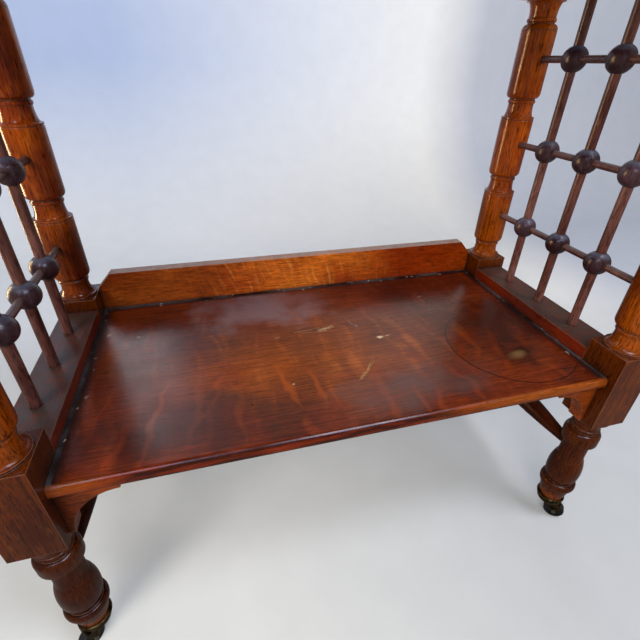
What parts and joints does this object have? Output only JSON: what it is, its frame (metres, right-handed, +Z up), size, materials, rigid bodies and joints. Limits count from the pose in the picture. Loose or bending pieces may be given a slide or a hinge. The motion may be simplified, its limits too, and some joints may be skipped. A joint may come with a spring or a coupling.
{
  "type": "rolling book stand",
  "caption": "Rolling book stand of stained oak: turned posts, stick-and-ball ends, a lower shelf with a back rail, a plain top board and swivelling brass cup casters.",
  "frame": {"origin": "on the floor under the middle of the stand", "axes": "+X to the right along the shelf, +Y to the back rail, +Z up"},
  "size_m": [0.74, 0.378, 0.729],
  "materials": {
    "shelf_oak": "dark red-brown stain under worn gloss varnish",
    "rail_oak": "golden to red-brown stain under gloss varnish",
    "post_oak": "turned, red-brown stain under gloss varnish",
    "lattice_oak": "turned, dark brown stain, satin",
    "brass": "cast, darkened by age",
    "wheel": "dense dark hardwood, worn",
    "steel": "plain, dulled"
  },
  "bodies": {
    "stand_frame": {"lower_shelf": "shelf_oak", "top_board": "shelf_oak", "back_rail": "rail_oak", "back_rail_screws": "steel", "top_screws": "steel", "bracket_nails": "steel", "cup_screws": "brass", "lower_rail_left": "rail_oak", "upper_rail_left": "rail_oak", "stretcher_left": "post_oak", "upright_left_front": "lattice_oak", "upright_left_middle": "lattice_oak", "upright_left_rear": "lattice_oak", "balls_left_row_1": "lattice_oak", "cross_sticks_left_row_1": "lattice_oak", "balls_left_row_2": "lattice_oak", "cross_sticks_left_row_2": "lattice_oak", "balls_left_row_3": "lattice_oak", "cross_sticks_left_row_3": "lattice_oak", "lower_rail_right": "rail_oak", "upper_rail_right": "rail_oak", "stretcher_right": "post_oak", "upright_right_front": "lattice_oak", "upright_right_middle": "lattice_oak", "upright_right_rear": "lattice_oak", "balls_right_row_1": "lattice_oak", "cross_sticks_right_row_1": "lattice_oak", "balls_right_row_2": "lattice_oak", "cross_sticks_right_row_2": "lattice_oak", "balls_right_row_3": "lattice_oak", "cross_sticks_right_row_3": "lattice_oak", "post_front_left": "post_oak", "bracket_front_left": "post_oak", "caster_cup_front_left": "brass", "caster_pivot_front_left": "steel", "post_front_right": "post_oak", "bracket_front_right": "post_oak", "caster_cup_front_right": "brass", "caster_pivot_front_right": "steel", "post_rear_left": "post_oak", "bracket_rear_left": "post_oak", "caster_cup_rear_left": "brass", "caster_pivot_rear_left": "steel", "post_rear_right": "post_oak", "bracket_rear_right": "post_oak", "caster_cup_rear_right": "brass", "caster_pivot_rear_right": "steel"},
    "fork_front_left": {"caster_fork_front_left": "brass", "caster_axle_front_left": "steel"},
    "wheel_front_left": {"caster_wheel_front_left": "wheel"},
    "fork_front_right": {"caster_fork_front_right": "brass", "caster_axle_front_right": "steel"},
    "wheel_front_right": {"caster_wheel_front_right": "wheel"},
    "fork_rear_left": {"caster_fork_rear_left": "brass", "caster_axle_rear_left": "steel"},
    "wheel_rear_left": {"caster_wheel_rear_left": "wheel"},
    "fork_rear_right": {"caster_fork_rear_right": "brass", "caster_axle_rear_right": "steel"},
    "wheel_rear_right": {"caster_wheel_rear_right": "wheel"}
  },
  "joints": [
    {"name": "swivel_front_left", "type": "hinge", "parent": "stand_frame", "child": "fork_front_left", "pos_m": [-0.325, -0.144, 0.0303], "axis": [0, 0, 1], "continuous": true},
    {"name": "roll_front_left", "type": "hinge", "parent": "fork_front_left", "child": "wheel_front_left", "pos_m": [-0.33419, -0.15319, 0.014], "axis": [0.7071, -0.7071, 0], "continuous": true},
    {"name": "swivel_front_right", "type": "hinge", "parent": "stand_frame", "child": "fork_front_right", "pos_m": [0.325, -0.144, 0.0303], "axis": [0, 0, 1], "continuous": true},
    {"name": "roll_front_right", "type": "hinge", "parent": "fork_front_right", "child": "wheel_front_right", "pos_m": [0.33419, -0.15319, 0.014], "axis": [0.7071, 0.7071, 0], "continuous": true},
    {"name": "swivel_rear_left", "type": "hinge", "parent": "stand_frame", "child": "fork_rear_left", "pos_m": [-0.325, 0.144, 0.0303], "axis": [0, 0, 1], "continuous": true},
    {"name": "roll_rear_left", "type": "hinge", "parent": "fork_rear_left", "child": "wheel_rear_left", "pos_m": [-0.33419, 0.13481, 0.014], "axis": [0.7071, -0.7071, 0], "continuous": true},
    {"name": "swivel_rear_right", "type": "hinge", "parent": "stand_frame", "child": "fork_rear_right", "pos_m": [0.325, 0.144, 0.0303], "axis": [0, 0, 1], "continuous": true},
    {"name": "roll_rear_right", "type": "hinge", "parent": "fork_rear_right", "child": "wheel_rear_right", "pos_m": [0.33419, 0.13481, 0.014], "axis": [0.7071, 0.7071, 0], "continuous": true}
  ]
}
